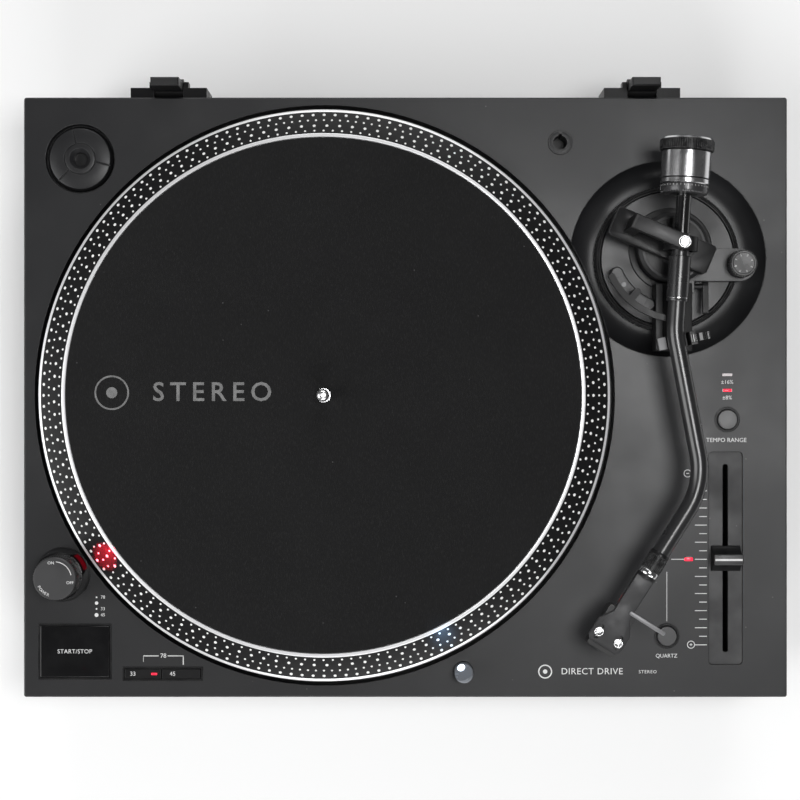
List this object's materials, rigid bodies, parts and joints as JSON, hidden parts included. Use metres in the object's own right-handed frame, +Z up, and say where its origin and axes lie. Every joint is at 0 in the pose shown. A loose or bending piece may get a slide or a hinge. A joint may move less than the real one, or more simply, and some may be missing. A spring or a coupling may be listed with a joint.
{
  "type": "turntable record player",
  "caption": "Flat black direct-drive record player with a round platter and felt mat, an S-shaped tonearm on a gimbal, a tempo slider and screw feet.",
  "frame": {"origin": "on the surface under the feet, in the middle of the whole footprint, lid hinges included", "axes": "+X to the right with the tonearm side, +Y to the back with the sockets, +Z up"},
  "size_m": [0.448, 0.365, 0.1459],
  "materials": {
    "cabinet": "satin charcoal paint",
    "base": "black, matt",
    "black_metal": "black, satin",
    "platter": "black anodised, bright edges",
    "felt": "black felt",
    "steel": "polished",
    "black_weight": "chrome and black",
    "black_steel": "black, satin",
    "bright_aluminium": "polished",
    "grey_metal": "dark grey, satin",
    "plastic": "black",
    "grey_plastic": "dark grey",
    "red_lens": "red, lit",
    "brass": "plated",
    "board": "green board",
    "foot": "black rubber"
  },
  "bodies": {
    "root": {"top_cabinet": "cabinet", "bottom_cover": "base", "cover_screws": "steel", "motor_frame": "brass", "stator": "board", "main_board": "board", "power_transformer": "steel", "rear_panel": "plastic", "rear_sockets": "brass", "mains_inlet": "plastic", "hinge_holders": "plastic", "button_frames": "plastic", "strobe_tower": "black_metal", "strobe_window": "red_lens", "slider_plate": "plastic", "slider_unit": "plastic", "stow_socket": "plastic", "indicator_lamps": "red_lens"},
    "platter": {"platter": "platter", "rotor": "black_weight", "spindle": "steel"},
    "adapter": {"adapter_45": "grey_metal"},
    "arm_base": {"arm_base": "grey_metal", "bearing_bracket": "black_metal", "pivot_screws": "steel", "arm_rest": "grey_plastic", "lift_cylinder": "grey_metal"},
    "gimbal": {"gimbal_ring": "black_metal"},
    "arm": {"arm_tube": "black_metal", "rear_shaft": "bright_aluminium", "cross_shaft": "steel"},
    "weight_sleeve": {"counterweight_sleeve": "plastic"},
    "headshell": {"headshell": "black_metal", "finger_lift": "steel", "cartridge": "plastic", "stylus": "plastic", "cartridge_screws": "steel"},
    "slipmat": {"slipmat": "felt"},
    "height_ring": {"height_ring": "black_metal"},
    "anti_skate_knob": {"anti_skate_knob": "black_metal"},
    "cue_lever": {"cue_lever": "plastic"},
    "lift_bar": {"lift_bar": "black_metal"},
    "rest_clip": {"rest_clip": "plastic"},
    "counterweight": {"counterweight": "black_weight"},
    "tracking_dial": {"tracking_dial": "plastic"},
    "lock_collar": {"lock_collar": "black_steel"},
    "start_stop_button": {"start_stop_button": "grey_plastic"},
    "speed_33_button": {"speed_33_button": "grey_plastic"},
    "speed_45_button": {"speed_45_button": "grey_plastic"},
    "quartz_button": {"quartz_button": "grey_plastic"},
    "tempo_range_button": {"tempo_range_button": "grey_plastic"},
    "tempo_slider_knob": {"tempo_slider_knob": "plastic"},
    "power_knob": {"power_knob": "black_metal"},
    "target_light": {"target_light": "black_metal"},
    "left_lid_hinge": {"left_lid_hinge": "plastic"},
    "right_lid_hinge": {"right_lid_hinge": "plastic"},
    "front_left_foot": {"front_left_foot": "foot"},
    "back_left_foot": {"back_left_foot": "foot"},
    "front_right_foot": {"front_right_foot": "foot"},
    "back_right_foot": {"back_right_foot": "foot"}
  },
  "joints": [
    {"name": "platter_spin", "type": "hinge", "parent": "root", "child": "platter", "pos_m": [-0.0474, -0.0054, 0.092], "axis": [0, 0, -1], "continuous": true},
    {"name": "mat_slip", "type": "hinge", "parent": "platter", "child": "slipmat", "pos_m": [-0.0474, -0.0054, 0.092], "axis": [0, 0, -1], "continuous": true},
    {"name": "adapter_lift", "type": "slide", "parent": "root", "child": "adapter", "axis": [0, 0, 1], "range_m": [0, 0.025]},
    {"name": "height_turn", "type": "hinge", "parent": "root", "child": "height_ring", "pos_m": [0.154, 0.0749, 0.092], "axis": [0, 0, 1], "range_deg": [0, 120]},
    {"name": "arm_height", "type": "slide", "parent": "root", "child": "arm_base", "axis": [0, 0, 1], "range_m": [0, 0.006]},
    {"name": "arm_swing", "type": "hinge", "parent": "arm_base", "child": "gimbal", "pos_m": [0.1556, 0.0802, 0.1305], "axis": [0, 0, -1], "range_deg": [0, 44]},
    {"name": "arm_lift", "type": "hinge", "parent": "gimbal", "child": "arm", "pos_m": [0.1556, 0.0802, 0.1305], "axis": [-0.9979, 0.0645, 0], "range_deg": [0, 2.7]},
    {"name": "weight_slide", "type": "slide", "parent": "arm", "child": "weight_sleeve", "axis": [0.0645, 0.9979, 0], "range_m": [-0.00201, 0.00401]},
    {"name": "weight_turn", "type": "hinge", "parent": "weight_sleeve", "child": "counterweight", "pos_m": [0.1556, 0.0802, 0.1305], "axis": [0.0645, 0.9979, 0], "range_deg": [-360, 720]},
    {"name": "dial_turn", "type": "hinge", "parent": "weight_sleeve", "child": "tracking_dial", "pos_m": [0.1556, 0.0802, 0.1305], "axis": [0.0645, 0.9979, 0], "continuous": true},
    {"name": "collar_turn", "type": "hinge", "parent": "arm", "child": "lock_collar", "pos_m": [0.13651, -0.10692, 0.1305], "axis": [-0.5314, -0.8471, 0], "range_deg": [0, 60]},
    {"name": "headshell_pull", "type": "slide", "parent": "arm", "child": "headshell", "axis": [-0.5314, -0.8471, 0], "range_m": [0, 0.02]},
    {"name": "anti_skate_turn", "type": "hinge", "parent": "arm_base", "child": "anti_skate_knob", "pos_m": [0.195, 0.0708, 0.092], "axis": [0, 0, -1], "range_deg": [0, 270]},
    {"name": "cue_raise", "type": "hinge", "parent": "arm_base", "child": "cue_lever", "pos_m": [0.173, 0.058, 0.101], "axis": [-1, 0, 0], "range_deg": [0, 60.01]},
    {"name": "lift_raise", "type": "slide", "parent": "arm_base", "child": "lift_bar", "axis": [0, 0, 1], "range_m": [0, 0.00201]},
    {"name": "clip_close", "type": "hinge", "parent": "arm_base", "child": "rest_clip", "pos_m": [0.1626, 0.02698, 0.131], "axis": [0.1874, -0.9823, 0], "range_deg": [0, 96]},
    {"name": "start_stop_press", "type": "slide", "parent": "root", "child": "start_stop_button", "axis": [0, 0, -1], "range_m": [0, 0.0015], "stiffness_N_per_m": 300, "springref_m": -0.0025},
    {"name": "speed_33_press", "type": "slide", "parent": "root", "child": "speed_33_button", "axis": [0, 0, -1], "range_m": [0, 0.0015], "stiffness_N_per_m": 300, "springref_m": -0.0025},
    {"name": "speed_45_press", "type": "slide", "parent": "root", "child": "speed_45_button", "axis": [0, 0, -1], "range_m": [0, 0.0015], "stiffness_N_per_m": 300, "springref_m": -0.0025},
    {"name": "quartz_press", "type": "slide", "parent": "root", "child": "quartz_button", "axis": [0, 0, -1], "range_m": [0, 0.0015], "stiffness_N_per_m": 300, "springref_m": -0.0025},
    {"name": "tempo_range_press", "type": "slide", "parent": "root", "child": "tempo_range_button", "axis": [0, 0, -1], "range_m": [0, 0.0015], "stiffness_N_per_m": 300, "springref_m": -0.0025},
    {"name": "tempo_slide", "type": "slide", "parent": "root", "child": "tempo_slider_knob", "axis": [0, -1, 0], "range_m": [-0.05, 0.05]},
    {"name": "power_turn", "type": "hinge", "parent": "root", "child": "power_knob", "pos_m": [-0.201, -0.1104, 0.092], "axis": [0, 0, -1], "range_deg": [0, 60]},
    {"name": "target_press", "type": "slide", "parent": "root", "child": "target_light", "axis": [0, 0, -1], "range_m": [0, 0.014], "stiffness_N_per_m": 60, "springref_m": -0.008},
    {"name": "left_lid_hinge_turn", "type": "hinge", "parent": "root", "child": "left_lid_hinge", "pos_m": [-0.14, 0.177, 0.0785], "axis": [-1, 0, 0], "range_deg": [0, 70]},
    {"name": "right_lid_hinge_turn", "type": "hinge", "parent": "root", "child": "right_lid_hinge", "pos_m": [0.14, 0.177, 0.0785], "axis": [-1, 0, 0], "range_deg": [0, 70]},
    {"name": "front_left_foot_screw", "type": "slide", "parent": "root", "child": "front_left_foot", "axis": [0, 0, -1], "range_m": [0, 0.005]},
    {"name": "back_left_foot_screw", "type": "slide", "parent": "root", "child": "back_left_foot", "axis": [0, 0, -1], "range_m": [0, 0.005]},
    {"name": "front_right_foot_screw", "type": "slide", "parent": "root", "child": "front_right_foot", "axis": [0, 0, -1], "range_m": [0, 0.005]},
    {"name": "back_right_foot_screw", "type": "slide", "parent": "root", "child": "back_right_foot", "axis": [0, 0, -1], "range_m": [0, 0.005]}
  ],
  "couplings": [
    {"joint": "height_turn", "follows": "arm_height", "rad_per_m": 349},
    {"joint": "cue_raise", "follows": "arm_lift", "ratio": 22.222},
    {"joint": "lift_raise", "follows": "arm_lift", "m_per_rad": 0.042441},
    {"joint": "weight_slide", "follows": "weight_turn", "m_per_rad": 0.00031831}
  ]
}
